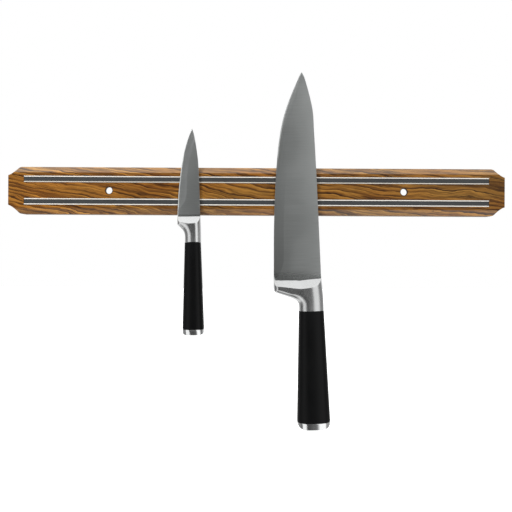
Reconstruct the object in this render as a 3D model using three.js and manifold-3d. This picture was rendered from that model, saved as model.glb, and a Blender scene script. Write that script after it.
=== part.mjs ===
// A wall-mounted magnetic knife bar with a paring knife and a chef's knife held on it.
// Millimetres. +X runs along the bar, +Y points into the wall, +Z is up.
// The origin is the centre of the bar's back face, which lies flat against the wall.

import * as THREE from 'three';
import Module from 'manifold-3d';
import { mergeVertices } from 'three/addons/utils/BufferGeometryUtils.js';

const wasm = await Module();
wasm.setup();

// ---------------------------------------------------------------- driving dimensions

// Clearance between pieces that touch on the real object.
const GAP = 0.3;

const BAR = { length: 500, height: 47.5, depth: 15 };

// Sloped long edges: how far the slope comes in from the edge, and how deep it is.
const BEVEL = { width: 5.8, depth: 3 };

// Each corner is a small ogee: a rounded shoulder that runs into a hollow scoop.
const SCOOP = { reach: 13.4, shoulder: 10.9, waistX: 9.6, waistZ: 1.6, hollowX: 5, hollowZ: 7.3, drop: 8.8 };

// Two magnetic tracks: steel pole strips on each side of a filler strip, with magnets behind it.
const TRACK = { length: 468, offset: 11.3, height: 6.3, grooveDepth: 7.5, proud: 0.3 };
const POLE = { thickness: 1 };
const FILLER = { depth: 1.4 };
const MAGNET = { count: 9, spacing: 0.8 };

// Two screw holes, opened out from behind to clear a wall plug and leave a thin land for the screw.
const SCREW = { offset: 148.5, diameter: 6.8, recessDiameter: 13.5, recessDepth: 11.5 };

// The knives. Every outline is in the knife's own frame: X across the handle with the spine
// at +X, Z along it with the tip up, zero at the seam between the bolster and the grip.
const CHEF = {
  name: 'chef',
  place: { x: 55.7, z: -119.75, tilt: 1.52 },
  blade: {
    thickness: 2.4,
    tipThickness: 0.9,
    edgeThickness: 0.4,
    shoulder: { heel: 30.9, middle: 30.3, middleX: -10, spine: 32.2 },
    edge: [[-37, 31.3], [-36.7, 46], [-35.3, 94], [-31.5, 149], [-26.4, 184], [-19, 208.5], [-8.3, 233.1]],
    tip: [-4.6, 239.6],
    spine: [[-1.7, 233.1], [3.4, 212.8], [5.9, 198], [6.5, 181], [7.6, 150], [9.2, 90], [10.5, 32.5]],
  },
  bolster: {
    heelX: -37,
    heelZ: 19.6,
    heelRound: 2.2,
    underside: { flareX: -20.6, flareZ: 13.6, neckX: -12.2, neckZ: 5.2 },
    spineTop: 10.6,
    spineBulge: [12.2, 14],
    seam: [-12.2, 12.5],
    halfThickness: 9.2,
    crown: 3,
    rampRun: 9.2,
  },
  grip: { length: 110.5, halfWidth: [12.3, 16.5], halfThickness: [9.4, 12], wall: 3 },
  cap: { length: 6.9, halfWidth: 16.6, halfThickness: 12.1, cornerX: 10, cornerZ: 6.2 },
  tang: { width: 12, endWidth: 5, shoulderZ: -96 },
};

const PARING = {
  name: 'paring',
  place: { x: -63.6, z: -51.7, tilt: 0.66 },
  blade: {
    thickness: 1.8,
    tipThickness: 0.8,
    edgeThickness: 0.35,
    shoulder: { heel: 25.7, middle: 25.6, middleX: -4, spine: 25.9 },
    edge: [[-15.2, 26], [-14.1, 47.7], [-11.4, 72.7], [-8.7, 88.1], [-5.55, 100.1], [-2.7, 108.1]],
    tip: [0, 114.1],
    spine: [[1.95, 108.1], [3.4, 100.1], [5.05, 88.1], [6, 78], [6.9, 54], [7.6, 26.2]],
  },
  bolster: {
    heelX: -15.3,
    heelZ: 17.2,
    heelRound: 1.6,
    underside: { flareX: -11.2, flareZ: 13.7, neckX: -7.8, neckZ: 5.2 },
    spineTop: 7.7,
    spineBulge: [8.2, 12],
    seam: [-7.8, 8.3],
    halfThickness: 6.9,
    crown: 1.2,
    rampRun: 7,
  },
  grip: { length: 87, halfWidth: [7.9, 10.8], halfThickness: [7, 8.8], wall: 2.2 },
  cap: { length: 5.8, halfWidth: 10.9, halfThickness: 8.9, cornerX: 6.5, cornerZ: 3 },
  tang: { width: 7, endWidth: 4, shoulderZ: -76 },
};

const NUT = { height: 3, overTang: 1.6 };

// ---------------------------------------------------------------- materials

const FINISH = {
  wood: { color: 0x8a5a2a, roughness: 0.55, metalness: 0 },
  poleSteel: { color: 0xd4cbc2, roughness: 0.3, metalness: 1 },
  filler: { color: 0x46494c, roughness: 0.6, metalness: 0 },
  magnet: { color: 0x2c2b2a, roughness: 0.8, metalness: 0 },
  bladeSteel: { color: 0x8a8c8b, roughness: 0.35, metalness: 1 },
  bolsterSteel: { color: 0xc4c6c6, roughness: 0.18, metalness: 1 },
  grip: { color: 0x1b1b1c, roughness: 0.65, metalness: 0 },
  core: { color: 0x2a2a2c, roughness: 0.5, metalness: 0 },
  nut: { color: 0x9a9c9d, roughness: 0.35, metalness: 1 },
};

// ---------------------------------------------------------------- helpers

const rack = new THREE.Group();

function addPiece(group, name, geometry, finish) {
  const mesh = new THREE.Mesh(geometry, new THREE.MeshStandardMaterial(FINISH[finish]));
  mesh.name = name;
  group.add(mesh);
  return mesh;
}

function toSolid(geometry) {
  const bare = geometry.clone();
  bare.deleteAttribute('normal');
  bare.deleteAttribute('uv');
  const merged = mergeVertices(bare, 1e-4);
  const vertProperties = new Float32Array(merged.attributes.position.array);
  const triVerts = new Uint32Array(merged.index.array);
  return new wasm.Manifold(new wasm.Mesh({ numProp: 3, vertProperties, triVerts }));
}

function toGeometry(solid) {
  const mesh = solid.getMesh();
  const geometry = new THREE.BufferGeometry();
  geometry.setAttribute('position', new THREE.BufferAttribute(mesh.vertProperties, 3));
  geometry.setIndex(new THREE.BufferAttribute(mesh.triVerts, 1));
  return geometry;
}

// A box from its low corner to its high corner.
function boxBetween(low, high) {
  const size = high.map((value, axis) => value - low[axis]);
  const box = new THREE.BoxGeometry(...size);
  box.translate(low[0] + size[0] / 2, low[1] + size[1] / 2, low[2] + size[2] / 2);
  return box;
}

// A front-view outline (shape X is X, shape Y is Z) made solid between two depths.
function frontExtrude(shape, yFront, yBack, options = {}) {
  const depth = yBack - yFront;
  const geometry = new THREE.ExtrudeGeometry(shape, { depth, bevelEnabled: false, ...options });
  geometry.rotateX(Math.PI / 2);
  geometry.translate(0, yBack, 0);
  return geometry;
}

// A cross-section (shape X is Y, shape Y is Z) made solid along X between two ends.
function lengthExtrude(shape, xLow, xHigh) {
  const geometry = new THREE.ExtrudeGeometry(shape, { depth: xHigh - xLow, bevelEnabled: false });
  geometry.applyMatrix4(new THREE.Matrix4().set(0, 0, 1, xLow, 1, 0, 0, 0, 0, 1, 0, 0, 0, 0, 0, 1));
  return geometry;
}

// A round bore along Y between two depths.
function boreAlongY(x, diameter, yFront, yBack) {
  const bore = new THREE.CylinderGeometry(diameter / 2, diameter / 2, yBack - yFront, 48);
  bore.translate(x, (yFront + yBack) / 2, 0);
  return bore;
}

function mix(from, to, share) {
  return from + (to - from) * share;
}

// ---------------------------------------------------------------- the bar

// The ogee at one corner, drawn from the long edge to the end or the other way round.
function cornerPath(shape, sideX, sideZ, towardsEnd) {
  const x = (inset) => sideX * (BAR.length / 2 - inset);
  const z = (inset) => sideZ * (BAR.height / 2 - inset);
  const waist = [x(SCOOP.waistX), z(SCOOP.waistZ)];
  const shoulder = [x(SCOOP.shoulder), z(0)];
  const hollow = [x(SCOOP.hollowX), z(SCOOP.hollowZ)];
  if (towardsEnd) {
    shape.lineTo(x(SCOOP.reach), z(0));
    shape.quadraticCurveTo(...shoulder, ...waist);
    shape.quadraticCurveTo(...hollow, x(0), z(SCOOP.drop));
  } else {
    shape.lineTo(x(0), z(SCOOP.drop));
    shape.quadraticCurveTo(...hollow, ...waist);
    shape.quadraticCurveTo(...shoulder, x(SCOOP.reach), z(0));
  }
}

function barOutline() {
  const shape = new THREE.Shape();
  shape.moveTo(0, -BAR.height / 2);
  cornerPath(shape, 1, -1, true);
  cornerPath(shape, 1, 1, false);
  cornerPath(shape, -1, 1, true);
  cornerPath(shape, -1, -1, false);
  return shape;
}

function barProfile() {
  const edge = BAR.height / 2;
  const shape = new THREE.Shape();
  shape.moveTo(0, -edge);
  shape.lineTo(0, edge);
  shape.lineTo(BEVEL.depth - BAR.depth, edge);
  shape.lineTo(-BAR.depth, edge - BEVEL.width);
  shape.lineTo(-BAR.depth, BEVEL.width - edge);
  shape.lineTo(BEVEL.depth - BAR.depth, -edge);
  return shape;
}

function woodenBar() {
  const outline = toSolid(frontExtrude(barOutline(), -BAR.depth - 1, 0, { curveSegments: 10 }));
  let bar = outline.intersect(toSolid(lengthExtrude(barProfile(), -BAR.length, BAR.length)));
  for (const side of [-1, 1]) {
    const centre = side * TRACK.offset;
    const reach = TRACK.height / 2 + GAP;
    const low = [-TRACK.length / 2 - GAP, -BAR.depth - 1, centre - reach];
    const high = [TRACK.length / 2 + GAP, TRACK.grooveDepth - BAR.depth, centre + reach];
    bar = bar.subtract(toSolid(boxBetween(low, high)));
    const x = side * SCREW.offset;
    bar = bar.subtract(toSolid(boreAlongY(x, SCREW.diameter, -BAR.depth - 1, 1)));
    bar = bar.subtract(toSolid(boreAlongY(x, SCREW.recessDiameter, -SCREW.recessDepth, 1)));
  }
  return toGeometry(bar);
}

function addTrack(name, centre) {
  const half = TRACK.length / 2;
  const floor = TRACK.grooveDepth - BAR.depth - GAP;
  const front = -BAR.depth - TRACK.proud;
  const inner = TRACK.height / 2 - POLE.thickness;
  const fillerBack = -BAR.depth + FILLER.depth;
  for (const [label, side] of [['top', 1], ['bottom', -1]]) {
    const zLow = centre + (side > 0 ? inner : -TRACK.height / 2);
    const strip = boxBetween([-half, front, zLow], [half, floor, zLow + POLE.thickness]);
    addPiece(rack, `${name}_pole_strip_${label}`, strip, 'poleSteel');
  }
  const clear = inner - GAP;
  const filler = boxBetween([-half, -BAR.depth, centre - clear], [half, fillerBack, centre + clear]);
  addPiece(rack, `${name}_filler_strip`, filler, 'filler');
  const pitch = (TRACK.length + MAGNET.spacing) / MAGNET.count;
  for (let index = 0; index < MAGNET.count; index += 1) {
    const start = -half + index * pitch;
    const low = [start, fillerBack + GAP, centre - clear];
    const high = [start + pitch - MAGNET.spacing, floor, centre + clear];
    addPiece(rack, `${name}_magnet_${index + 1}`, boxBetween(low, high), 'magnet');
  }
}

// ---------------------------------------------------------------- the knives

function bladeOutline(spec) {
  const { edge, tip, spine, shoulder } = spec.blade;
  const vectors = (points) => points.map(([x, z]) => new THREE.Vector2(x, z));
  const shape = new THREE.Shape();
  shape.moveTo(...edge[0]);
  shape.splineThru(vectors([...edge.slice(1), tip]));
  shape.splineThru(vectors(spine));
  shape.lineTo(shoulder.middleX, shoulder.middle + GAP);
  return shape;
}

// The tang runs down from the blade's shoulder and narrows to take the nut.
function tangOutline(spec) {
  const half = spec.tang.width / 2;
  const endHalf = spec.tang.endWidth / 2;
  const end = -spec.grip.length - spec.cap.length * 0.62;
  const root = spec.blade.shoulder.heel + 4;
  const shape = new THREE.Shape();
  shape.moveTo(-half, root);
  shape.lineTo(-half, spec.tang.shoulderZ);
  shape.lineTo(-endHalf, spec.tang.shoulderZ - (half - endHalf));
  shape.lineTo(-endHalf, end);
  shape.lineTo(endHalf, end);
  shape.lineTo(endHalf, spec.tang.shoulderZ - (half - endHalf));
  shape.lineTo(half, spec.tang.shoulderZ);
  shape.lineTo(half, root);
  return shape;
}

// A flat ground blade: full thickness along the spine, thinner to the tip, thin at the edge.
function knifeBlade(spec) {
  const { thickness, tipThickness, edgeThickness, tip, shoulder } = spec.blade;
  const plate = frontExtrude(bladeOutline(spec), -thickness / 2, thickness / 2, { curveSegments: 5 });
  const position = plate.attributes.position;
  for (let index = 0; index < position.count; index += 1) {
    const along = (position.getZ(index) - shoulder.heel) / (tip[1] - shoulder.heel);
    const atEdge = position.getX(index) < shoulder.middleX - 1 - along * shoulder.middleX;
    const spineThickness = mix(thickness, tipThickness, Math.max(0, along) ** 2);
    const local = atEdge ? edgeThickness : spineThickness;
    position.setY(index, Math.sign(position.getY(index)) * local / 2);
  }
  const tangThickness = thickness * 0.98;
  const tang = frontExtrude(tangOutline(spec), -tangThickness / 2, tangThickness / 2);
  return toGeometry(toSolid(plate).add(toSolid(tang)));
}

// The room that a piece around the tang leaves for it.
function tangRoom(spec) {
  const half = spec.tang.width / 2 + GAP;
  const halfThickness = spec.blade.thickness / 2 + GAP;
  const end = -spec.grip.length - GAP;
  return toSolid(boxBetween([-half, -halfThickness, end], [half, halfThickness, spec.blade.shoulder.heel + 9]));
}

function bolsterOutline(spec) {
  const { heelX, heelZ, heelRound, underside, spineTop, spineBulge, seam, crown } = spec.bolster;
  const { heel, middle, middleX, spine } = spec.blade.shoulder;
  const foot = -crown - 1;
  const shape = new THREE.Shape();
  shape.moveTo(seam[0], foot);
  shape.lineTo(underside.neckX, underside.neckZ);
  shape.quadraticCurveTo(underside.neckX, underside.flareZ - 3, underside.flareX, underside.flareZ);
  shape.lineTo(heelX + heelRound, heelZ - heelRound * 0.5);
  shape.quadraticCurveTo(heelX, heelZ, heelX, heelZ + heelRound);
  shape.lineTo(heelX, heel);
  shape.lineTo(middleX, middle);
  shape.lineTo(spineTop, spine);
  shape.lineTo(...spineBulge);
  shape.lineTo(seam[1], 0);
  shape.lineTo(seam[1], foot);
  return shape;
}

// A crowned bolster whose two faces run down to the blade as sloping ramps.
function bolster(spec) {
  const { halfThickness, crown, rampRun } = spec.bolster;
  const { heel, spine } = spec.blade.shoulder;
  const flat = halfThickness * 0.3;
  const body = frontExtrude(bolsterOutline(spec), -flat, flat, {
    curveSegments: 6,
    bevelEnabled: true,
    bevelThickness: halfThickness - flat,
    bevelSize: crown,
    bevelOffset: -crown,
    bevelSegments: 5,
  });
  let solid = toSolid(body).subtract(toSolid(boxBetween([-90, -40, -40], [90, 40, 0])));
  const bladeFace = spec.blade.thickness / 2 + GAP;
  for (const side of [-1, 1]) {
    const ramp = new THREE.Shape();
    ramp.moveTo(side * bladeFace, spine + 1);
    ramp.lineTo(side * bladeFace, heel);
    ramp.lineTo(side * (halfThickness + 1), heel - rampRun);
    ramp.lineTo(side * (halfThickness + 9), heel - rampRun);
    ramp.lineTo(side * (halfThickness + 9), spine + 1);
    solid = solid.subtract(toSolid(lengthExtrude(ramp, -90, 90)));
  }
  return toGeometry(solid.subtract(tangRoom(spec)));
}

// A rounded oval section, a little squarer than an ellipse.
function ovalShape(halfX, halfY, count) {
  const squareness = 2.4;
  const points = [];
  for (let index = 0; index < count; index += 1) {
    const angle = (index / count) * 2 * Math.PI;
    const cos = Math.cos(angle);
    const sin = Math.sin(angle);
    const x = Math.sign(cos) * halfX * Math.abs(cos) ** (2 / squareness);
    const y = Math.sign(sin) * halfY * Math.abs(sin) ** (2 / squareness);
    points.push(new THREE.Vector2(x, y));
  }
  return new THREE.Shape(points);
}

// An upright oval solid from zTop down by a length, with its own width at each end.
function taperedOval(top, bottom, zTop, length, count = 36) {
  const steps = 6;
  const shape = ovalShape(1, 1, count);
  const geometry = new THREE.ExtrudeGeometry(shape, { depth: length, steps, bevelEnabled: false });
  const position = geometry.attributes.position;
  for (let index = 0; index < position.count; index += 1) {
    const share = 1 - position.getZ(index) / length;
    position.setX(index, position.getX(index) * mix(top[0], bottom[0], share));
    position.setY(index, position.getY(index) * mix(top[1], bottom[1], share));
  }
  geometry.translate(0, 0, zTop - length);
  return geometry;
}

function gripEnds(spec, inset) {
  const { halfWidth, halfThickness } = spec.grip;
  const top = [halfWidth[0] - inset, halfThickness[0] - inset];
  const bottom = [halfWidth[1] - inset, halfThickness[1] - inset];
  return { top, bottom };
}

function gripSleeve(spec) {
  const length = spec.grip.length - 2 * GAP;
  const outer = gripEnds(spec, 0);
  const inner = gripEnds(spec, spec.grip.wall);
  const sleeve = toSolid(taperedOval(outer.top, outer.bottom, -GAP, length));
  return toGeometry(sleeve.subtract(toSolid(taperedOval(inner.top, inner.bottom, 1, spec.grip.length + 2))));
}

function gripCore(spec) {
  const length = spec.grip.length - 2 * GAP;
  const ends = gripEnds(spec, spec.grip.wall + GAP + 0.1);
  const core = toSolid(taperedOval(ends.top, ends.bottom, -GAP, length, 28));
  return toGeometry(core.subtract(tangRoom(spec)));
}

// The nut's room inside the end cap, measured from the tang.
function nutReach(spec) {
  return spec.tang.endWidth / 2 + NUT.overTang;
}

// The end cap seen from the front: straight down from the seam, with elliptical lower corners.
function capOutline(spec) {
  const { length, halfWidth, cornerX, cornerZ } = spec.cap;
  const bottom = -spec.grip.length - length;
  const turn = halfWidth - cornerX;
  const shape = new THREE.Shape();
  shape.moveTo(halfWidth, -spec.grip.length);
  shape.lineTo(-halfWidth, -spec.grip.length);
  shape.lineTo(-halfWidth, bottom + cornerZ);
  shape.absellipse(-turn, bottom + cornerZ, cornerX, cornerZ, Math.PI, 1.5 * Math.PI);
  shape.lineTo(turn, bottom);
  shape.absellipse(turn, bottom + cornerZ, cornerX, cornerZ, 1.5 * Math.PI, 2 * Math.PI);
  return shape;
}

function endCap(spec) {
  const { length, halfWidth, halfThickness } = spec.cap;
  const seam = -spec.grip.length;
  const section = [halfWidth, halfThickness];
  const oval = toSolid(taperedOval(section, section, seam + 1, length + 2, 40));
  const front = toSolid(frontExtrude(capOutline(spec), -halfThickness - 1, halfThickness + 1));
  const reach = nutReach(spec) + GAP;
  const pocketFloor = seam - length * 0.62 - GAP;
  const pocket = boxBetween([-reach, -reach, pocketFloor], [reach, reach, seam + 1]);
  return toGeometry(oval.intersect(front).subtract(toSolid(pocket)));
}

function tangNut(spec) {
  const top = -spec.grip.length - GAP;
  const nut = new THREE.CylinderGeometry(nutReach(spec), nutReach(spec), NUT.height, 6);
  nut.rotateX(Math.PI / 2);
  nut.translate(0, 0, top - NUT.height / 2);
  const halfWidth = spec.tang.endWidth / 2 + GAP;
  const halfThickness = spec.blade.thickness / 2 + GAP;
  const low = [-halfWidth, -halfThickness, top - NUT.height - 1];
  const slot = boxBetween(low, [halfWidth, halfThickness, top + 1]);
  return toGeometry(toSolid(nut).subtract(toSolid(slot)));
}

function addKnife(spec) {
  const knife = new THREE.Group();
  const midPlane = -BAR.depth - TRACK.proud - GAP - spec.blade.thickness / 2;
  knife.position.set(spec.place.x, midPlane, spec.place.z);
  knife.rotation.y = -THREE.MathUtils.degToRad(spec.place.tilt);
  addPiece(knife, `${spec.name}_blade`, knifeBlade(spec), 'bladeSteel');
  addPiece(knife, `${spec.name}_bolster`, bolster(spec), 'bolsterSteel');
  addPiece(knife, `${spec.name}_grip`, gripSleeve(spec), 'grip');
  addPiece(knife, `${spec.name}_grip_core`, gripCore(spec), 'core');
  addPiece(knife, `${spec.name}_end_cap`, endCap(spec), 'bolsterSteel');
  addPiece(knife, `${spec.name}_tang_nut`, tangNut(spec), 'nut');
  rack.add(knife);
}

// ---------------------------------------------------------------- assembly

addPiece(rack, 'wooden_bar', woodenBar(), 'wood');
addTrack('upper', TRACK.offset);
addTrack('lower', -TRACK.offset);
addKnife(PARING);
addKnife(CHEF);

export default rack;
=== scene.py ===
"""A wall-mounted magnetic knife bar with two knives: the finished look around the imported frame."""

import math

import bmesh
import bpy
from mathutils import Matrix, Vector


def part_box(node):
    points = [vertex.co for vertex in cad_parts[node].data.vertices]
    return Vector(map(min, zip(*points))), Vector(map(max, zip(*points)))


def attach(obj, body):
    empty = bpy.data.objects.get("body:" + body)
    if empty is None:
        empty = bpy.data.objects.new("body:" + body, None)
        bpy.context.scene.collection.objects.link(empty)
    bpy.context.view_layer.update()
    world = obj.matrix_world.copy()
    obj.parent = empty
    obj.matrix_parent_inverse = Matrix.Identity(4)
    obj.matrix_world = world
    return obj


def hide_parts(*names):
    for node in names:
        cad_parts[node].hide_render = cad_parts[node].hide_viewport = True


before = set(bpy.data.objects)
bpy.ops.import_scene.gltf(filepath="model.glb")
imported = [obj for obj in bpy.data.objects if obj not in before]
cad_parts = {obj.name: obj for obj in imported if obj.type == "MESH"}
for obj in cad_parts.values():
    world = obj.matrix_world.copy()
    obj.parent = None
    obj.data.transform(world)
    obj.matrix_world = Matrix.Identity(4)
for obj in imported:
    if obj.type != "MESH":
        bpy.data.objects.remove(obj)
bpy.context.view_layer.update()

MM = 0.001

# ------------------------------------------------------------------ sizes
# Millimetres, in each knife's own frame: X across the handle with the spine at +X, Z along it
# with the tip up, and zero at the seam between the bolster and the grip. Y is the thickness.
# Every "half" is a half-thickness.
#
# grind         the line between the ground band along the edge and the flat side
# grind_half    half-thickness on that line, as a share of the spine's, and grind_slope its limit
# edge_bevel    width and half-thickness of the sharpened edge
# fillet        how far the blade swells into the bolster, and over what height
# polish        height of the band above the bolster that is buffed
# ground_dark   how much darker the ground band is near the bolster
# grind_highlight  width and strength of the painted highlight along the grind line
# painted_light  painted light: the steel's brightness at the edge and at the spine
# painted_light_above  painted light: its brightness low and high on the blade
# crown_reach   how far in the bolster's left and right rounded sides run, heel_reach at the heel
# cap           height of the end cap, and width and height of its rounded lower corners
# apex          where the oval handle stands furthest out
# tang          its width, its width at the nut, and the height where it narrows

CHEF = {
    "name": "chef",
    "place": (55.7, -119.75),
    "tilt": 1.52,
    "edge": [(-37, 31.3), (-36.7, 46), (-35.3, 94), (-31.5, 149), (-26.4, 184), (-19, 208.5),
             (-8.3, 233.1)],
    "tip": (-4.6, 239.6),
    "spine": [(-1.7, 233.1), (3.4, 212.8), (5.9, 198), (6.5, 181), (7.6, 150), (9.2, 90), (10.5, 32.5)],
    "shoulder": [(-37, 30.9), (-10, 30.3), (10.6, 32.2)],
    "spine_half": (1.2, 0.45),
    "grind": [(-36.6, 30), (-36, 33), (-33, 36.5), (-29, 42), (-26.8, 52), (-26, 90), (-22.5, 140),
              (-15.5, 185), (-8.5, 215), (-5.4, 234)],
    "grind_half": 0.52,
    "grind_slope": 0.06,
    "edge_bevel": (0.45, 0.12),
    "fillet": (0.9, 9),
    "polish": 9,
    "ground_dark": 0.16,
    # painted highlight along the grind line, then painted light across and up the blade
    "grind_highlight": (6, 0.03),
    "painted_light": (1.0, 1.21),
    "painted_light_above": (1, 1),
    "neck": (-12.2, 5.2),
    "flare": (-20.6, 13.6),
    "heel": (-37, 19.6, 2.2),
    "seam": (-12.2, 12.5),
    "spine_bulge": (12.2, 14),
    "bolster_half": 9.2,
    "bolster_shine": 0.54,
    "heel_half": 6.4,
    "crown_reach": (10.5, 14.1),
    "heel_reach": 5,
    "ramp_slope": 0.92,
    "grip_length": 110.5,
    "grip_width": (12.5, 16.6),
    "grip_half": (9.45, 12.1),
    "cap": (6.9, 10, 6.2),
    "apex": -1.7,
    "tang": (12, 5, -96),
}

PARING = {
    "name": "paring",
    "place": (-63.6, -51.7),
    "tilt": 0.66,
    "edge": [(-15.2, 26), (-14.1, 47.7), (-11.4, 72.7), (-8.7, 88.1), (-5.55, 100.1),
             (-2.7, 108.1)],
    "tip": (0, 114.1),
    "spine": [(1.95, 108.1), (3.4, 100.1), (5.05, 88.1), (6, 78), (6.9, 54), (7.6, 26.2)],
    "shoulder": [(-15.3, 25.7), (-4, 25.6), (7.7, 25.9)],
    "spine_half": (0.9, 0.4),
    "grind": [(-15, 28), (-14, 32), (-12.3, 35), (-8.6, 39.5), (-6.5, 46), (-5.7, 56), (-5.2, 68),
              (-3.3, 82), (0.2, 93.5), (2.6, 103)],
    "grind_half": 0.85,
    "grind_slope": 0.09,
    "edge_bevel": (0.8, 0.25),
    "fillet": (0.08, 2),
    "polish": 3,
    "ground_dark": 0,
    # painted highlight along the grind line, then painted light across and up the blade
    "grind_highlight": (5, 0.42),
    "painted_light": (1.18, 1.0),
    "painted_light_above": (1, 1.3),
    "neck": (-7.8, 5.2),
    "flare": (-11.2, 13.7),
    "heel": (-15.3, 17.2, 1.6),
    "seam": (-7.8, 8.3),
    "spine_bulge": (8.2, 12),
    "bolster_half": 6.9,
    "bolster_shine": 0.61,
    "heel_half": 5.2,
    "crown_reach": (9.3, 6.6),
    "heel_reach": 3.4,
    "ramp_slope": 0.86,
    "grip_length": 87,
    "grip_width": (8.05, 10.8),
    "grip_half": (7.05, 8.85),
    "cap": (5.8, 6.5, 3),
    "apex": 1.2,
    "tang": (7, 4, -76),
}

SQUARENESS = 2.4          # exponent of the oval handle section; 2 would be an ellipse
CROWN_SQUARENESS = 2.2    # the same for the bolster's rounded sides
EDGE_HALF = 0.02          # half-thickness of the cutting edge itself
BEVEL_SHARE = 0.3         # most of the blade's width that the sharpened edge may take
FACE_BULGE = 0.9          # how full the flat side is between the grind line and the spine
GRIND_SOFT = 0.16         # how softly the ground band turns into the flat side
FILLET_FADE = 4           # width over which the fillet fades out towards the cutting edge
SPINE_ROUND = 0.15        # rounding along the spine
SPINE_EDGE = 0.8          # thickness left at the spine's edge, as a share
TIP_WIDTH = 0.12          # narrowest width of the blade, at its tip
BLADE_TUCK = 0.25         # how far the blade draws in where the bolster hides it
OUTLINE_TOP = 40          # height to which the bolster's outline is carried on past the blade
CROWN_SOFT = 0.04         # how softly the bolster's two rounded sides meet
RAMP_SOFT = 0.35          # how softly a side turns into the ramp
UNDER_BLADE = 0.06        # how far the bolster stays under the blade's surface
SEAM = 0.12               # visible seam between bolster, grip and cap
GRIP_ROUND = 0.55         # rounding of the grip's two ends
CAP_EDGE = 0.9            # rounding of the end cap's front and back lower edges
CAP_LIP = 0.25            # chamfer round the cap's top
TANG_PAST_GRIP = 4.6      # how far the tang reaches past the grip, into the nut
TANG_CHAMFER = 0.3
SCREW_OFFSET = 148.5      # the screw holes, either side of the middle
SCREW_RADIUS = 3.4
BEVEL_FROM = 17.95        # height above the middle where the bar's sloped edges start
GRIND_STOPS = 24          # stops of the ramp that follows the grind line in the blade's material
PIECE_CREASE = 30         # degrees over which an edge of a knife piece is sharp
NODE_CREASE = 35          # the same for a CAD node

# ------------------------------------------------------------------ curves and meshes


def catmull_rom(share, before, start, end, after):
    """A smooth step from start to end, aware of the values on either side."""
    leave = (end - before) / 2
    arrive = (after - start) / 2
    cubic = 2 * start - 2 * end + leave + arrive
    square = 3 * end - 3 * start - 2 * leave - arrive
    return cubic * share**3 + square * share**2 + leave * share + start


def curve_through(points, steps=10):
    """A smooth curve through the points, as a list of (x, z)."""
    last = len(points) - 1
    curve = []
    for index in range(last):
        around = (max(index - 1, 0), index, index + 1, min(index + 2, last))
        four = [points[place] for place in around]
        for step in range(steps):
            share = step / steps
            curve.append(tuple(catmull_rom(share, *[p[axis] for p in four]) for axis in (0, 1)))
    curve.append(tuple(points[last]))
    return curve


def quadratic(start, control, end, steps=16):
    """Points after the start of a curve that is pulled towards a control point."""
    points = []
    for step in range(1, steps + 1):
        t = step / steps
        axes = zip(start, control, end)
        points.append(tuple((1 - t) ** 2 * a + 2 * t * (1 - t) * b + t * t * c for a, b, c in axes))
    return points


def interpolate(pairs, value):
    """The y at x = value on a polyline of (x, y), held at its ends."""
    if value <= pairs[0][0]:
        return pairs[0][1]
    for (x0, y0), (x1, y1) in zip(pairs, pairs[1:]):
        if value <= x1:
            return y0 + (y1 - y0) * (value - x0) / max(x1 - x0, 1e-9)
    return pairs[-1][1]


def by_height(curve):
    """The curve as (z, x) pairs in rising z, so that interpolate gives x at a height."""
    return sorted((z, x) for x, z in curve)


def mix(start, end, share):
    return start + (end - start) * share


def smooth_share(value, start, end):
    """0 at start, 1 at end, easing in and out between them."""
    share = min(max((value - start) / (end - start), 0), 1)
    return share * share * (3 - 2 * share)


def soft_min(a, b, radius):
    """The smaller of two values, rounded where they cross."""
    gap = max(radius - abs(a - b), 0) / radius
    return min(a, b) - gap * gap * radius / 4


def loft(name, rings):
    """A closed mesh through rings of equally many (x, y, z) points in millimetres."""
    count = len(rings[0])
    verts = [Vector(point) * MM for ring in rings for point in ring]
    faces = []
    for row in range(len(rings) - 1):
        for col in range(count):
            a = row * count + col
            b = row * count + (col + 1) % count
            faces.append((a, b, b + count, a + count))
    base = (len(rings) - 1) * count
    faces.append(tuple(reversed(range(count))))
    faces.append(tuple(base + col for col in range(count)))
    mesh = bpy.data.meshes.new(name)
    mesh.from_pydata(verts, [], faces)
    mesh.validate()
    return mesh


def smooth(mesh):
    """Faces pointing out, smooth except over sharp edges."""
    work = bmesh.new()
    work.from_mesh(mesh)
    bmesh.ops.recalc_face_normals(work, faces=work.faces)
    work.to_mesh(mesh)
    work.free()
    mesh.shade_smooth()
    mesh.set_sharp_from_angle(angle=math.radians(PIECE_CREASE))


def knife_matrix(spec):
    """From the knife's own frame to the row's, with its mid-plane taken from its CAD blade."""
    x, z = spec["place"]
    low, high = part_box(spec["name"] + "_blade")
    mid_plane = (low[1] + high[1]) / 2
    turn = Matrix.Rotation(-math.radians(spec["tilt"]), 4, "Y")
    return Matrix.Translation((x * MM, mid_plane, z * MM)) @ turn


def add_piece(spec, part, mesh, material, stands_for):
    """A knife piece placed in the row frame, riding on its knife."""
    smooth(mesh)
    piece = bpy.data.objects.new(spec["name"] + part, mesh)
    bpy.context.collection.objects.link(piece)
    piece.matrix_world = knife_matrix(spec)
    bpy.context.view_layer.update()
    mesh.materials.append(material)
    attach(piece, spec["name"] + "_knife")
    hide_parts(*[spec["name"] + node for node in stands_for])


# ------------------------------------------------------------------ the blade


def bevel_size(spec, width):
    """Width of the sharpened edge, less where the blade is narrow."""
    return min(spec["edge_bevel"][0], width * BEVEL_SHARE)


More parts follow.
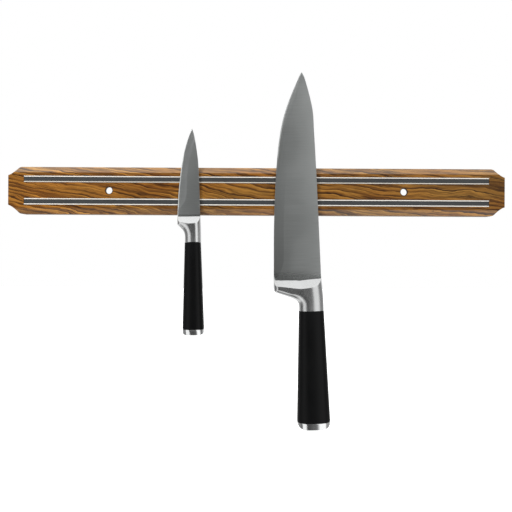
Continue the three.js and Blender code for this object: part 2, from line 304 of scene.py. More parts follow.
def blade_shape(spec):
    """Functions of the blade: edge x, spine x, and half-thickness at a place."""
    edge = by_height(curve_through([*spec["edge"], spec["tip"]]))
    spine = by_height(curve_through([spec["tip"], *spec["spine"]]))
    grind = by_height(curve_through(spec["grind"], 6))
    root, point = spec["shoulder"][0][1], spec["tip"][1]
    heel_half, tip_half = spec["spine_half"]
    bevel_half = spec["edge_bevel"][1]
    rise, reach = spec["fillet"]

    def spine_half(z):
        along = min(max((z - root) / (point - root), 0), 1)
        return mix(heel_half, tip_half, along**1.5)

    def half(x, z):
        x_edge, x_spine = interpolate(edge, z), interpolate(spine, z)
        from_edge, width = max(x - x_edge, 0), max(x_spine - x_edge, 0.05)
        full = spine_half(z)
        bevel = bevel_size(spec, width)
        if from_edge <= bevel:
            return mix(EDGE_HALF, bevel_half, from_edge / bevel)
        grind_from = min(max(interpolate(grind, z) - x_edge, bevel + 0.3), width)
        steepest = bevel_half + spec["grind_slope"] * (grind_from - bevel)
        flat = min(full * spec["grind_half"], steepest)
        ground = bevel_half + (flat - bevel_half) * (from_edge - bevel) / (grind_from - bevel)
        across = (from_edge - grind_from) / max(width - grind_from, 1)
        faced = flat + (full - flat) * across * (1 + FACE_BULGE - FACE_BULGE * across)
        value = soft_min(ground, max(faced, bevel_half), GRIND_SOFT)
        above = z - interpolate(spec["shoulder"], x)
        if above < reach:
            fade = min(from_edge / FILLET_FADE, 1)
            value += rise * (1 - max(above, 0) / reach) ** 2 * fade
        return value

    return edge, spine, half


def blade_columns(width, spec, count=34):
    """Distances from the edge at which each row of the blade has points."""
    bevel = bevel_size(spec, width)
    round_off = SPINE_ROUND * min(1, width)
    near = [0, bevel * 0.9, bevel * 1.1]
    far = width - round_off
    return [*near, *[mix(bevel * 1.1, far, step / count) for step in range(1, count + 1)], width]


def blade_mesh(spec, rows=150):
    """The blade from inside the bolster to the tip, its rows closer together towards the tip."""
    edge, spine, half = blade_shape(spec)
    low, high = spec["shoulder"][0][1] - 3, spec["tip"][1]
    rings = []
    for row in range(rows + 1):
        z = low + (high - low) * (1 - (1 - row / rows) ** 1.5)
        x_edge, x_spine = interpolate(edge, z), interpolate(spine, z)
        if x_spine - x_edge < TIP_WIDTH:
            middle = (x_edge + x_spine) / 2
            x_edge, x_spine = middle - TIP_WIDTH / 2, middle + TIP_WIDTH / 2
        if z < interpolate(spec["shoulder"], x_edge):
            x_edge += BLADE_TUCK
            x_spine -= BLADE_TUCK
        columns = blade_columns(x_spine - x_edge, spec)
        side = []
        for index, from_edge in enumerate(columns):
            thick = half(x_edge + from_edge, z)
            if index == len(columns) - 1:
                thick *= SPINE_EDGE
            side.append((x_edge + from_edge, thick))
        front = [(x, -thick, z) for x, thick in side]
        back = [(x, thick, z) for x, thick in reversed(side)]
        rings.append(front + back)
    return loft(spec["name"] + "_blade_piece", rings)


def tang_mesh(spec):
    """The tang inside the handle, narrowing to the nut."""
    width, end_width, narrow_z = spec["tang"]
    thick = spec["spine_half"][0] * 0.95
    step = (width - end_width) / 2
    top_z, end_z = 4, -spec["grip_length"] - TANG_PAST_GRIP
    stations = [(top_z, width), (narrow_z, width), (narrow_z - step, end_width), (end_z, end_width)]
    cut_x, cut_y = TANG_CHAMFER, thick - TANG_CHAMFER
    rings = []
    for z, wide in stations:
        w = wide / 2
        corners = [(-w, -cut_y), (-w + cut_x, -thick), (w - cut_x, -thick), (w, -cut_y)]
        corners += [(-x, -y) for x, y in corners]
        rings.append([(x, y, z) for x, y in corners])
    return loft(spec["name"] + "_tang_piece", rings)


# ------------------------------------------------------------------ bolster, grip and cap


def bolster_sides(spec):
    """The bolster's left and right outline, as (z, x) pairs."""
    seam_left, seam_right = spec["seam"]
    neck, flare = spec["neck"], spec["flare"]
    heel_x, heel_z, heel_round = spec["heel"]
    turn_low = (heel_x + heel_round, heel_z - heel_round * 0.5)
    left = [(seam_left, 0), neck]
    left += quadratic(neck, (neck[0], flare[1] - 3), flare)
    left += [turn_low]
    left += quadratic(turn_low, (heel_x, heel_z), (heel_x, heel_z + heel_round), 8)
    left += [spec["shoulder"][0], (heel_x, OUTLINE_TOP)]
    spine_x, spine_z = spec["shoulder"][-1]
    past_spine = (spine_x - 0.5, OUTLINE_TOP)
    right = curve_through([(seam_right, 0), spec["spine_bulge"], (spine_x, spine_z), past_spine])
    return by_height(left), by_height(right)


def distance_to(line, x, z):
    """Distance from a point to a polyline of (z, x) pairs carried on past its low end."""
    z0, x0 = line[0]
    points = [(z0 - 20, x0), *line]
    best = math.inf
    for (za, xa), (zb, xb) in zip(points, points[1:]):
        run_x, run_z = xb - xa, zb - za
        length = max(run_x * run_x + run_z * run_z, 1e-9)
        share = min(max(((x - xa) * run_x + (z - za) * run_z) / length, 0), 1)
        best = min(best, math.hypot(x - xa - share * run_x, z - za - share * run_z))
    return best


def crown_height(inwards, reach):
    """Height of a rounded side, 0 to 1, at a distance in from the outline."""
    share = min(max(inwards / reach, 0), 1)
    return (1 - (1 - share) ** CROWN_SQUARENESS) ** (1 / CROWN_SQUARENESS)


def bolster_rows(left, low, high):
    """Heights for the bolster's rows, closer together where the outline runs nearly level."""
    spacing, probe = 0.4, 0.05
    rows = [low]
    while rows[-1] < high:
        z = rows[-1]
        slope = abs(interpolate(left, z + probe) - interpolate(left, z)) / probe
        rows.append(z + spacing / math.hypot(1, slope))
    rows[-1] = high
    return rows


def bolster_mesh(spec):
    """The bolster: rounded sides, and two faces that run up to the blade as ramps."""
    left, right = bolster_sides(spec)
    _, _, blade_half = blade_shape(spec)
    neck_x, heel_x = spec["neck"][0], spec["heel"][0]
    left_reach, right_reach = spec["crown_reach"]
    top = max(z for x, z in spec["shoulder"]) + 0.4
    columns = 72
    shares = [(1 - math.cos(math.pi * step / columns)) / 2 for step in range(columns + 1)]
    rings = []
    for z in bolster_rows(left, SEAM, top):
        x_low, x_high = interpolate(left, z), interpolate(right, z)
        side = []
        for share in shares:
            x = mix(x_low, x_high, share)
            towards_heel = smooth_share(x, neck_x + 5, heel_x)
            full = mix(spec["bolster_half"], spec["heel_half"], towards_heel)
            reach = mix(left_reach, spec["heel_reach"], smooth_share(x, neck_x + 7, neck_x - 11))
            from_left = crown_height(distance_to(left, x, z), reach)
            from_right = crown_height(distance_to(right, x, z), right_reach)
            crown = full * soft_min(from_left, from_right, CROWN_SOFT)
            line = interpolate(spec["shoulder"], x)
            if z < line:
                ramp = blade_half(x, line) + spec["ramp_slope"] * (line - z)
                thick = soft_min(crown, ramp, RAMP_SOFT)
            else:
                thick = min(crown, blade_half(x, z) - UNDER_BLADE)
            side.append((x, max(thick, 0.015)))
        front = [(x, -thick, z) for x, thick in side]
        back = [(x, thick, z) for x, thick in reversed(side)]
        rings.append(front + back)
    return loft(spec["name"] + "_bolster_piece", rings)


def oval_ring(half_x, half_y, z, apex=0, count=96):
    """A rounded oval section whose front and back stand furthest out at the apex."""
    ring = []
    for step in range(count):
        angle = 2 * math.pi * step / count
        cos, sin = math.cos(angle), math.sin(angle)
        side = math.copysign(1, cos)
        x = apex + side * (half_x - side * apex) * abs(cos) ** (2 / SQUARENESS)
        y = math.copysign(half_y * abs(sin) ** (2 / SQUARENESS), sin)
        ring.append((x, y, z))
    return ring


def rounded_steps(radius, count=6):
    """(inset, depth) pairs over a quarter round, from the flat end to the side."""
    pairs = []
    for step in range(count + 1):
        angle = math.pi / 2 * step / count
        pairs.append((radius * (1 - math.sin(angle)), radius * (1 - math.cos(angle))))
    return pairs


def grip_size(spec, z):
    """Half-width and half-thickness of the grip at a height."""
    share = -z / spec["grip_length"]
    half_x = mix(*spec["grip_width"], share)
    half_y = mix(*spec["grip_half"], share)
    return half_x, half_y


def grip_mesh(spec, body_steps=40):
    """The grip sleeve, widening downwards, with rounded ends."""
    top, bottom = -SEAM, -spec["grip_length"] + SEAM
    rounding = rounded_steps(GRIP_ROUND)
    stations = [(top - depth, inset) for inset, depth in rounding]
    first, last = top - GRIP_ROUND, bottom + GRIP_ROUND
    stations += [(mix(first, last, step / body_steps), 0) for step in range(1, body_steps)]
    stations += [(bottom + depth, inset) for inset, depth in reversed(rounding)]
    rings = []
    for z, inset in stations:
        half_x, half_y = grip_size(spec, z)
        rings.append(oval_ring(half_x - inset, half_y - inset, z, spec["apex"]))
    return loft(spec["name"] + "_grip_piece", rings)


def cut_ring(half_x, half_y, limit, z, apex, corner=0.6):
    """An oval ring whose two ends are cut off at a distance from the middle, with softened corners."""
    ring = []
    for x, y, _ in oval_ring(half_x, half_y, z, apex, 128):
        ring.append((math.copysign(soft_min(abs(x), limit, corner), x), y, z))
    return ring


def cap_mesh(spec, steps=40):
    """The end cap: straight front and back, elliptical lower corners, and a small rounded edge."""
    length, corner_x, corner_z = spec["cap"]
    seam = -spec["grip_length"] - SEAM
    bottom = -spec["grip_length"] - length
    half_x, half_y = grip_size(spec, seam)
    apex = spec["apex"]
    rings = []
    for inset, depth in ((CAP_LIP, 0), (CAP_LIP * 0.3, CAP_LIP * 0.3)):
        rings.append(cut_ring(half_x - inset, half_y - inset, half_x, seam - depth, apex))
    rings.append(cut_ring(half_x, half_y, half_x + 1, seam - CAP_LIP, apex))
    for step in range(steps + 1):
        drop = math.sin(math.pi / 2 * step / steps)
        up = corner_z * (1 - drop)
        limit = half_x - corner_x * (1 - math.sqrt(max(1 - drop * drop, 0)))
        edge = max(1 - up / CAP_EDGE, 0)
        inset = CAP_EDGE * (1 - math.sqrt(max(1 - edge * edge, 0)))
        rings.append(cut_ring(half_x, half_y - inset, limit + 0.1, bottom + up, apex))
    flat_x, flat_y = half_x - corner_x, half_y - CAP_EDGE
    for share in (0.8, 0.6, 0.4, 0.2, 0.05):
        rings.append(cut_ring(half_x * share, flat_y * share, flat_x * share, bottom, apex * share))
    return loft(spec["name"] + "_cap_piece", rings)


# ------------------------------------------------------------------ material tools


class Shader:
    """A material being built: adds nodes and joins them to the one Principled shader."""

    def __init__(self, name, **constants):
        self.material = bpy.data.materials.new(name)
        self.material.use_nodes = True
        self.nodes = self.material.node_tree.nodes
        self.links = self.material.node_tree.links
        self.surface = self.nodes["Principled BSDF"]
        for socket, value in constants.items():
            self.surface.inputs[socket.replace("_", " ")].default_value = value

    def join(self, source, target):
        self.links.new(source, target)

    def coordinates(self, scale, source=None):
        """Object coordinates, or those given, stretched along the three axes."""
        if source is None:
            source = self.nodes.new("ShaderNodeTexCoord").outputs["Object"]
        mapping = self.nodes.new("ShaderNodeMapping")
        mapping.inputs["Scale"].default_value = scale
        self.join(source, mapping.inputs["Vector"])
        return mapping.outputs["Vector"]

    def noise(self, vector, detail=2.0, roughness=0.5):
        node = self.nodes.new("ShaderNodeTexNoise")
        node.inputs["Scale"].default_value = 1
        node.inputs["Detail"].default_value = detail
        node.inputs["Roughness"].default_value = roughness
        self.join(vector, node.inputs["Vector"])
        return node.outputs["Fac"]

    def ramp(self, value, stops):
        """A colour ramp of (position, colour) stops; a colour may be one number."""
        node = self.nodes.new("ShaderNodeValToRGB")
        elements = node.color_ramp.elements
        while len(elements) < len(stops):
            elements.new(0.5)
        for element, (position, colour) in zip(elements, stops):
            element.position = position
            shade = colour if isinstance(colour, tuple) else (colour,) * 3
            element.color = (*shade, 1)
        self.join(value, node.inputs["Fac"])
        return node.outputs["Color"]

    def split(self, vector):
        """The X, Y and Z of a vector."""
        node = self.nodes.new("ShaderNodeSeparateXYZ")
        self.join(vector, node.inputs[0])
        return node.outputs

    def span(self, value, low, high, to_low, to_high):
        """A smooth step from one number to another as a value goes from low to high."""
        node = self.nodes.new("ShaderNodeMapRange")
        node.interpolation_type = "SMOOTHSTEP"
        limits = {"From Min": low, "From Max": high, "To Min": to_low, "To Max": to_high}
        for socket, number in limits.items():
            node.inputs[socket].default_value = number
        self.join(value, node.inputs["Value"])
        return node.outputs["Result"]

    def math(self, operation, first, second):
        node = self.nodes.new("ShaderNodeMath")
        node.operation = operation
        for socket, value in zip(node.inputs, (first, second)):
            if isinstance(value, (int, float)):
                socket.default_value = value
            else:
                self.join(value, socket)
        return node.outputs["Value"]

    def blend(self, factor, first, second, mode="MIX"):
        node = self.nodes.new("ShaderNodeMix")
        node.data_type = "RGBA"
        node.blend_type = mode
        sockets = (node.inputs["Factor"], node.inputs[6], node.inputs[7])
        for socket, value in zip(sockets, (factor, first, second)):
            if isinstance(value, (int, float)):
                socket.default_value = value
            elif isinstance(value, tuple):
                socket.default_value = (*value, 1)
            else:
                self.join(value, socket)
        return node.outputs[2]

    def ring_share(self, vector, spacing):
        """How far across its growth ring a point is, 0 to 1, in uneven rings about one spacing wide."""
        uneven = self.noise(self.coordinates((2.2, 9, 34), source=vector), detail=2)
        offset = self.math("MULTIPLY", uneven, 3.2)
        count = self.math("ADD", self.math("DIVIDE", self.split(vector)["Z"], spacing), offset)
        return self.math("FRACT", count, 0)

    def bore_shade_mask(self, source):
        """1 on the drilled walls of the two screw holes and in a thin ring round them, which get painted
        shade.
        """
        along, _, up = self.split(source)
        sideways = self.math("SUBTRACT", self.math("ABSOLUTE", along, 0), SCREW_OFFSET * MM)
        squares = [self.math("MULTIPLY", value, value) for value in (sideways, up)]
        away = self.math("SQRT", self.math("ADD", *squares), 0)
        return self.span(away, (SCREW_RADIUS + 0.3) * MM, (SCREW_RADIUS + 0.85) * MM, 1, 0)

    def bump(self, height, strength, distance, normal=None):
        node = self.nodes.new("ShaderNodeBump")
        node.inputs["Strength"].default_value = strength
        node.inputs["Distance"].default_value = distance
        self.join(height, node.inputs["Height"])
        if normal is not None:
            self.join(normal, node.inputs["Normal"])
        return node.outputs["Normal"]

    def finish(self, colour=None, roughness=None, normal=None):
        for socket, source in (("Base Color", colour), ("Roughness", roughness), ("Normal", normal)):
            if source is not None:
                self.join(source, self.surface.inputs[socket])
        return self.material


# ------------------------------------------------------------------ materials


def grain_coordinates(shader):
    """Wood coordinates: along the grain in X, across it in Z. The grain slopes down to the right
    and flattens towards the bar's right end."""
    source = shader.nodes.new("ShaderNodeTexCoord").outputs["Object"]
    x, y, z = shader.split(source)
    bend = shader.math("MULTIPLY", shader.math("MULTIPLY", x, x), -0.14)
    slope = shader.math("ADD", shader.math("MULTIPLY", x, 0.15), bend)
    drift = shader.noise(shader.coordinates((11, 18, 30), source=source), 4, 0.62)
    wander = shader.math("MULTIPLY", shader.math("SUBTRACT", drift, 0.5), 0.018)
    across = shader.math("ADD", shader.math("ADD", z, slope), wander)
    across = shader.math("ADD", across, shader.math("MULTIPLY", y, 0.45))
    together = shader.nodes.new("ShaderNodeCombineXYZ")
    for socket, value in zip(together.inputs, (x, y, across)):
        shader.join(value, socket)
    return source, together.outputs[0]


def streaks(shader, colour, grain, scale, texture, low, high, most, tint):
    """The colour with streaks of a tint, where a stretched noise rises from low to high."""
    pattern = shader.noise(shader.coordinates(scale, source=grain), *texture)
    return pattern, shader.blend(shader.span(pattern, low, high, 0, most), colour, tint)


def painted_edge_sheen(shader, colour, source):
    """Painted sheen on the wood's sloped long edges, as if they caught the light: lighter and greyer, more
    so above and to the right; and darker towards the ends."""
    x, _, z = shader.split(source)
    # painted sheen on the sloped edges: full on the upper one, at most 0.8 on the lower one
    upper = shader.span(z, (BEVEL_FROM - 0.2) * MM, (BEVEL_FROM + 0.3) * MM, 0, 1)
    lower = shader.span(z, (-BEVEL_FROM - 0.3) * MM, (0.2 - BEVEL_FROM) * MM, 0.8, 0)
    ends = shader.span(shader.math("ABSOLUTE", x, 0), 0.222, 0.24, 1, 0.86)
    colour = shader.blend(1.0, colour, ends, "MULTIPLY")
    # painted highlight: the sloped edges made lighter
    sheen_colour = shader.blend(1.0, colour, (1.45, 1.62, 2.1), "MULTIPLY")
    colour = shader.blend(shader.math("ADD", upper, lower), colour, sheen_colour)
    # painted reflection: a grey veil on the sloped edges, on the lower one growing towards the right
    to_right = shader.span(x, -0.2, 0.2, 0.3, 1.2)
    pale = shader.math("ADD", upper, shader.math("MULTIPLY", lower, to_right))
    return shader.blend(shader.math("MULTIPLY", pale, 0.14), colour, (0.5, 0.48, 0.46))


def oiled_wood():
    """Golden brown wood: rings that begin in a thin dark line and fade to gold, with finer streaks,
    and a painted sheen that lightens the sloped edges."""
    shader = Shader("oiled_wood", Specular_IOR_Level=0.16)
    source, grain = grain_coordinates(shader)
    gold, tan = (0.37, 0.168, 0.028), (0.248, 0.102, 0.015)
    brown, dark = (0.112, 0.042, 0.007), (0.025, 0.008, 0.0022)
    # painted shade for the screw holes' walls and rims
    bore_shade = (0.02, 0.008, 0.003)
    reddish, greenish = (1.04, 0.95, 0.86), (0.95, 1.03, 1.2)
    broad = shader.noise(shader.coordinates((4, 26, 60), source=grain), 3, 0.6)
    colour = shader.ramp(broad, [(0.34, brown), (0.46, tan), (0.6, gold), (0.72, tan)])
    rings = shader.ring_share(grain, 0.0044)
    steps = [(0.0, dark), (0.09, dark), (0.2, brown), (0.48, tan), (0.94, gold), (1.0, dark)]
    strong = shader.noise(shader.coordinates((5, 40, 120), source=grain), 2)
    colour = shader.blend(shader.span(strong, 0.34, 0.54, 0.25, 1), colour, shader.ramp(rings, steps))
    _, colour = streaks(shader, colour, grain, (14, 110, 330), (3, 0.65), 0.48, 0.6, 0.85, brown)
    fine, colour = streaks(shader, colour, grain, (20, 260, 1100), (3, 0.65), 0.5, 0.64, 0.65, dark)
    _, colour = streaks(shader, colour, grain, (30, 300, 700), (2,), 0.54, 0.7, 0.5, gold)
    _, colour = streaks(shader, colour, grain, (15, 90, 300), (5, 0.7), 0.54, 0.64, 0.8, dark)
    hue = shader.noise(shader.coordinates((7, 14, 40), source=source), 2)
    tint = shader.ramp(hue, [(0.35, reddish), (0.65, greenish)])
    # painted sheen on the sloped edges
    colour = painted_edge_sheen(shader, shader.blend(1.0, colour, tint, "MULTIPLY"), source)
    # painted shade in and round the screw holes
    colour = shader.blend(shader.bore_shade_mask(source), colour, bore_shade)
    pores = shader.noise(shader.coordinates((90, 900, 2400), source=grain), 2)
    roughness = shader.span(fine, 0.3, 0.7, 0.42, 0.52)
    normal = shader.bump(pores, 0.12, 0.0002, shader.bump(rings, 0.05, 0.0003))
    return shader.finish(colour, roughness, normal)


def cloudy(shader, value, cloud, amount=0.02):
    """A roughness that varies a little from place to place."""
    return shader.math("ADD", value, shader.span(cloud, 0.3, 0.7, -amount, amount))


def brushed_along(name, base, roughness, stretch, strength, contrast=0.06, metallic=1.0):
    """A brushed metal: fine parallel scratches along the axis that stretch leaves long."""
    shader = Shader(name, Metallic=metallic)
    lines = shader.noise(shader.coordinates(stretch), detail=3, roughness=0.6)
    cloud = shader.noise(shader.coordinates((25, 25, 25)), detail=2)
    light = tuple(min(value * (1 + contrast), 1) for value in base)
    dark = tuple(value * (1 - contrast) for value in base)
    colour = shader.ramp(lines, [(0.3, dark), (0.7, light)])
    varied = cloudy(shader, shader.span(lines, 0.3, 0.7, *roughness), cloud)
    normal = shader.bump(lines, strength, 0.0001)
    return shader.finish(colour, varied, normal)


def from_grind_line(shader, spec, x, z):
    """How far a point of the blade is from the grind line, towards the spine."""
    low, high = spec["shoulder"][0][1], spec["tip"][1]
    left, right = spec["heel"][0], spec["spine_bulge"][0]
    line = by_height(curve_through(spec["grind"], 6))
    along = shader.math("DIVIDE", shader.math("SUBTRACT", z, low * MM), (high - low) * MM)
    stops = []
    for step in range(GRIND_STOPS):
        share = step / (GRIND_STOPS - 1)
        stops.append((share, (interpolate(line, mix(low, high, share)) - left) / (right - left)))
    offset = shader.math("MULTIPLY", shader.ramp(along, stops), (right - left) * MM)
    return shader.math("SUBTRACT", shader.math("SUBTRACT", x, left * MM), offset)


def blade_steel(spec):
    """Satin blade steel with faint lines across the blade, a little duller on the ground band along
    the edge and polished close to the bolster; painted light brightens it across and up the blade,
    and a painted highlight runs along the grind line."""
    shader = Shader(spec["name"] + "_blade_steel", Metallic=1.0)
    darker_steel, bright = (0.55, 0.572, 0.56), (0.605, 0.627, 0.62)
    glint, black = (0.95, 0.97, 0.98), (0, 0, 0)
    source = shader.nodes.new("ShaderNodeTexCoord").outputs["Object"]
    x, _, z = shader.split(source)
    lines = shader.noise(shader.coordinates((30, 30, 1500), source=source), 4, 0.7)
    cloud = shader.noise(shader.coordinates((28, 28, 16), source=source), 2)
    colour = shader.ramp(lines, [(0.32, darker_steel), (0.68, bright)])
    edge, spine = spec["heel"][0] * MM, spec["spine_bulge"][0] * MM
    # painted light: the blade made brighter across it and higher up, by the knife's own numbers
    painted_light = shader.span(x, edge, spine, *spec["painted_light"])
    upper = shader.span(z, 55 * MM, 95 * MM, *spec["painted_light_above"])
    colour = shader.blend(1.0, colour, shader.math("MULTIPLY", painted_light, upper), "MULTIPLY")
    past_line = from_grind_line(shader, spec, x, z)
    ground = shader.span(past_line, -0.4 * MM, 0.9 * MM, 1, 0)
    fading = shader.span(z, 60 * MM, 175 * MM, spec["ground_dark"], 0)
    colour = shader.blend(shader.math("MULTIPLY", ground, fading), colour, black)
    # painted highlight: a light line just short of the grind line
    reach, lift = spec["grind_highlight"]
    rise = shader.span(past_line, -reach * MM, -0.3 * MM, 0, lift)
    fall = shader.span(past_line, -0.3 * MM, 0.4 * MM, 1, 0)
    colour = shader.blend(shader.math("MULTIPLY", rise, fall), colour, glint)
    shoulder = max(height for _, height in spec["shoulder"])
    polish = shader.span(z, shoulder * MM, (shoulder + spec["polish"]) * MM, -0.1, 0)
    satin = cloudy(shader, shader.span(lines, 0.3, 0.7, 0.3, 0.335), cloud)
    roughness = shader.math("ADD", satin, polish)
    return shader.finish(colour, roughness, shader.bump(lines, 0.02, 0.0001))


def polished_steel(name, reflectance, roughness):
    """Buffed steel with hairlines too fine to see one by one."""
    shader = Shader(name, Metallic=1.0)
    cloud = shader.noise(shader.coordinates((60, 60, 60)), detail=3)
    hairlines = shader.noise(shader.coordinates((2600, 2600, 160)), detail=2)
    tints = (0.99, 1, 1)
    low, high = (tuple(reflectance * step * tint for tint in tints) for step in (0.97, 1.03))
    colour = shader.ramp(cloud, [(0.3, low), (0.7, high)])
    varied = shader.math("ADD", shader.span(cloud, 0.3, 0.7, roughness - 0.02, roughness + 0.02),
                         shader.span(hairlines, 0.4, 0.7, 0, 0.04))
    return shader.finish(colour, varied, shader.bump(hairlines, 0.03, 0.00005))


def soft_grip():
    """Soft-touch black rubber with a fine grit."""
    shader = Shader("soft_grip", Specular_IOR_Level=0.14)
    grit = shader.noise(shader.coordinates((2400, 2400, 2400)), detail=2)
    cloud = shader.noise(shader.coordinates((45, 45, 30)), detail=3)
    low, high = (0.0014, 0.0015, 0.0016), (0.0021, 0.0022, 0.0024)
    colour = shader.ramp(cloud, [(0.3, low), (0.7, high)])
    roughness = cloudy(shader, shader.span(cloud, 0.3, 0.7, 0.4, 0.48), grit, 0.03)
    return shader.finish(colour, roughness, shader.bump(grit, 0.12, 0.00008))


def moulded(name, base, roughness, grit_scale=1800):
    """A plain moulded or pressed material with a fine texture."""
    shader = Shader(name)
    grit = shader.noise(shader.coordinates((grit_scale,) * 3), detail=2)
    cloud = shader.noise(shader.coordinates((40, 40, 40)), detail=2)
    low, high = tuple(value * 0.85 for value in base), tuple(value * 1.12 for value in base)
    colour = shader.ramp(cloud, [(0.3, low), (0.7, high)])
    varied = shader.span(grit, 0.3, 0.7, roughness - 0.06, roughness + 0.06)
    return shader.finish(colour, varied, shader.bump(grit, 0.15, 0.0001))


# ------------------------------------------------------------------ the bar


def dress_node(node, material, merge_flat=True):
    """A CAD node shown as it is, with its material. Its triangles come in apart, so its edges are sharp."""
    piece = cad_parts[node]
    piece.data.materials.clear()
    piece.data.materials.append(material)
    if merge_flat:
        flatten = piece.modifiers.new("merge_flat_faces", "DECIMATE")
        flatten.decimate_type = "DISSOLVE"
        flatten.angle_limit = math.radians(0.5)
    piece.data.shade_smooth()
    piece.data.set_sharp_from_angle(angle=math.radians(NODE_CREASE))


def pole_steel(name, base):
    return brushed_along(name, base, (0.48, 0.58), (30, 1500, 1500), 0.15, contrast=0.05, metallic=0.45)


def dress_bar():
    """The bar with its tracks; the upper track's lower strip gets painted shade, a darker copy of the
    steel of the other three.
    """
    dress_node("wooden_bar", oiled_wood())
    bright = pole_steel("pole_steel", (0.9, 0.86, 0.8))
    # painted shade: a darker copy of the strip steel, for the upper track's lower strip
    darker_steel = pole_steel("shaded_pole_steel", (0.68, 0.64, 0.58))
    dark_filler = moulded("filler", (0.032, 0.034, 0.035), 0.55)
    ferrite = moulded("magnet", (0.025, 0.023, 0.021), 0.75, 900)
    for track in ("upper", "lower"):
        for side in ("top", "bottom"):
            strip_steel = darker_steel if (track, side) == ("upper", "bottom") else bright
            dress_node(f"{track}_pole_strip_{side}", strip_steel)
        dress_node(f"{track}_filler_strip", dark_filler)
    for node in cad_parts:
        if "_magnet_" in node:
            dress_node(node, ferrite)


def dress_knives():
    """Each knife's seen pieces, built around its own CAD nodes, and the nodes inside the handle."""
    mirror = polished_steel("cap_steel", 0.76, 0.13)
    rubber = soft_grip()
    core = moulded("core_plastic", (0.02, 0.02, 0.022), 0.4)
    nut = brushed_along("nut_steel", (0.5, 0.5, 0.5), (0.3, 0.4), (300, 300, 900), 0.1)
    for spec in (PARING, CHEF):
        steel = blade_steel(spec)
        satin = polished_steel(spec["name"] + "_bolster_steel", spec["bolster_shine"], 0.27)
        add_piece(spec, "_ground_blade", blade_mesh(spec), steel, ["_blade"])
        add_piece(spec, "_tang", tang_mesh(spec), steel, ["_blade"])
        add_piece(spec, "_crowned_bolster", bolster_mesh(spec), satin, ["_bolster"])
        add_piece(spec, "_soft_grip", grip_mesh(spec), rubber, ["_grip"])
        add_piece(spec, "_butt_cap", cap_mesh(spec), mirror, ["_end_cap"])
        dress_node(spec["name"] + "_grip_core", core, merge_flat=False)
        dress_node(spec["name"] + "_tang_nut", nut)


# ------------------------------------------------------------------ studio


def world_band(tools, value, low, high, soft):
    """1 between two angles, falling smoothly to 0 over a soft edge, in degrees."""
    rise = tools.span(value, math.radians(low - soft), math.radians(low + soft), 0, 1)
    fall = tools.span(value, math.radians(high - soft), math.radians(high + soft), 1, 0)
    return tools.math("MULTIPLY", rise, fall)


class WorldTools(Shader):
    """The same node tools, working on the world's node tree."""

    def __init__(self, world):
        world.use_nodes = True
        self.nodes = world.node_tree.nodes
        self.links = world.node_tree.links


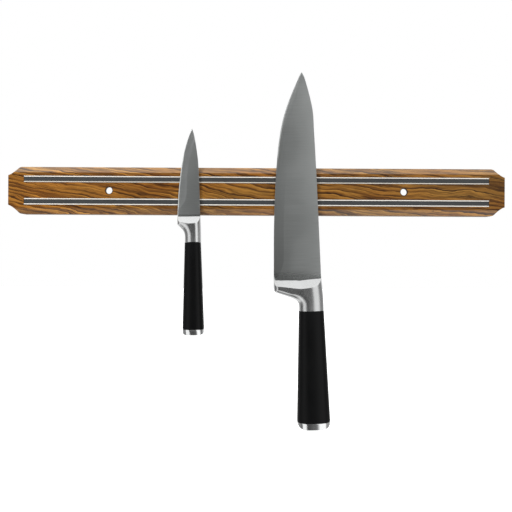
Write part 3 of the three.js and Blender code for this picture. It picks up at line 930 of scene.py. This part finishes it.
def studio_world():
    """A white room seen by the camera, and a light tent around the object for light and gloss.
    Azimuth is 0 in front of the object and rises to the right; elevation is 0 at its height."""
    world = bpy.data.worlds.new("studio")
    bpy.context.scene.world = world
    tools = WorldTools(world)
    x, y, z = tools.split(tools.nodes.new("ShaderNodeTexCoord").outputs["Generated"])
    azimuth = tools.math("ARCTAN2", x, tools.math("MULTIPLY", y, -1))
    elevation = tools.math("ARCSINE", z, 0)
    aside = tools.math("ABSOLUTE", azimuth, 0)
    away = tools.math("ABSOLUTE", elevation, 0)
    lean = tools.math("MULTIPLY", tools.math("ADD", elevation, math.radians(15)), 0.25)
    leaning = tools.math("ADD", azimuth, lean)

    def step(value, start, end, before=0, after=1):
        return tools.span(value, math.radians(start), math.radians(end), before, after)

    def both(first, second):
        return tools.math("MULTIPLY", first, second)

    level = step(away, 36, 52, 1, 0)
    above_ground = step(elevation, -66, -52, 0.25, 1)
    tip_light = both(world_band(tools, azimuth, -22, -3, 4), world_band(tools, elevation, 6, 26, 4))
    lights = [
        (both(world_band(tools, leaning, 21, 68, 6), level), 1.1),      # right panel
        (both(world_band(tools, leaning, -60, -24, 4), level), 1.08),   # left panel
        (tip_light, 0.05),                                              # for the paring blade's tip
        (step(elevation, 20, 60), 1.3),                                 # ceiling
        (world_band(tools, elevation, -62, -36, 7), 0.85),              # pale band low all round
        (step(elevation, -64, -80), 0.12),                              # straight below
        (both(step(aside, 66, 80), above_ground), 0.2),                 # both sides
        (both(step(aside, 108, 135), above_ground), 0.45),              # rear
        (step(azimuth, -8, 18), 0.1),                                   # front, rising to the right
    ]
    total = tools.math("ADD", 0.08, 0)
    for mask, strength in lights:
        total = tools.math("ADD", total, tools.math("MULTIPLY", mask, strength))
    lighting = tools.nodes["Background"]
    tools.join(total, lighting.inputs["Strength"])
    lighting.inputs["Color"].default_value = (1, 1, 1, 1)
    seen = tools.nodes.new("ShaderNodeBackground")
    seen.inputs["Color"].default_value = (1, 1, 1, 1)
    rays = tools.nodes.new("ShaderNodeLightPath")
    choose = tools.nodes.new("ShaderNodeMixShader")
    tools.join(rays.outputs["Is Camera Ray"], choose.inputs["Fac"])
    tools.join(lighting.outputs[0], choose.inputs[1])
    tools.join(seen.outputs[0], choose.inputs[2])
    tools.join(choose.outputs[0], tools.nodes["World Output"].inputs["Surface"])


def floor():
    """A plain pale floor well below the object, which the metal doesn't mirror."""
    bpy.ops.mesh.primitive_plane_add(size=12, location=(0, 0, -0.42))
    plane = bpy.context.object
    plane.name = "floor"
    shader = Shader("pale_floor", Roughness=0.9, Base_Color=(0.9, 0.9, 0.9, 1),
                    Emission_Color=(1, 1, 1, 1), Emission_Strength=0.45)
    plane.data.materials.append(shader.material)
    plane.visible_glossy = False
    plane.visible_diffuse = False


def area_light(name, place, target, size, watts):
    """A square soft light aimed at a point, which the metal doesn't mirror."""
    lamp = bpy.data.lights.new(name, "AREA")
    lamp.size = size
    lamp.energy = watts
    holder = bpy.data.objects.new(name, lamp)
    bpy.context.collection.objects.link(holder)
    holder.location = place
    holder.rotation_euler = (Vector(target) - Vector(place)).to_track_quat("-Z", "Y").to_euler()
    holder.visible_glossy = False


def camera():
    """A level camera straight in front, a little below the bar, rolled by a third of a degree."""
    across = 513.8 * MM         # width seen in the plane of the knives' faces
    distance = 610 * MM         # from the camera to that plane
    plane_y = -17 * MM
    beside, below = -0.1 * MM, -65.2 * MM
    data = bpy.data.cameras.new("camera")
    data.sensor_width = 36
    data.lens = data.sensor_width * distance / across
    data.clip_start = 0.01
    data.clip_end = 50
    holder = bpy.data.objects.new("camera", data)
    bpy.context.collection.objects.link(holder)
    place = Matrix.Translation((beside, plane_y - distance, below))
    level = Matrix.Rotation(math.radians(90), 4, "X")
    roll = Matrix.Rotation(math.radians(0.31), 4, "Z")
    holder.matrix_world = place @ level @ roll
    bpy.context.scene.camera = holder


dress_bar()
dress_knives()
studio_world()
floor()
area_light("key", (-1.0, -0.75, 0.3), (0, 0, 0), 0.3, 12)
camera()
bpy.context.scene.view_settings.view_transform = "Standard"
